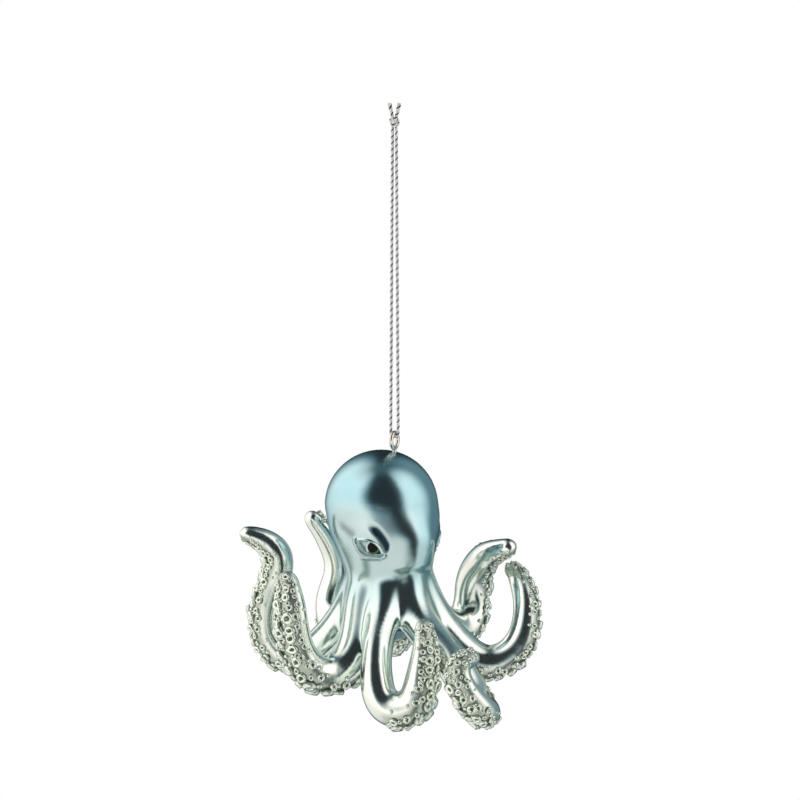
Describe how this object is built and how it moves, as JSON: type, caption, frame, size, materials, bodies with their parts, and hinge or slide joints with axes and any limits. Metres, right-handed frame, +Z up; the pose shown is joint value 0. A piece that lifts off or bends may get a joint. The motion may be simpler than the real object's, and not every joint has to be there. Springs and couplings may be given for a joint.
{
  "type": "octopus ornament",
  "caption": "Hanging octopus ornament with a smooth metallic head, curling sucker-lined arms, a screw eye and a knotted loop of metallic cord.",
  "frame": {"origin": "the hanging point, under the knot at the top of the cord loop", "axes": "+Z up along the cord, -Y towards the viewer, +X to the viewer's right"},
  "size_m": [0.0885, 0.1003, 0.178],
  "materials": {
    "head_paint": "satin metallic teal paint on cast resin",
    "arm_paint": "satin metallic silver-mint paint on cast resin",
    "eye_bead": "gloss black bead",
    "plated_wire": "nickel-plated steel wire",
    "metallic_cord": "twisted silver and black metallic thread"
  },
  "bodies": {
    "cord": {"cord_loop": "metallic_cord", "cord_knot": "metallic_cord", "cord_tails": "metallic_cord"},
    "octopus": {"mantle": "head_paint", "arm_front": "arm_paint", "arm_front_right": "arm_paint", "arm_right": "arm_paint", "arm_back_right": "arm_paint", "arm_back": "arm_paint", "arm_back_left": "arm_paint", "arm_left": "arm_paint", "arm_front_left": "arm_paint", "left_eye": "eye_bead", "right_eye": "eye_bead", "screw_eye": "plated_wire"}
  },
  "joints": [
    {"name": "ornament_swing", "type": "hinge", "parent": "cord", "child": "octopus", "pos_m": [0, 0, -0.0908], "axis": [0.9135, -0.4067, 0], "range_deg": [-75, 75]}
  ]
}
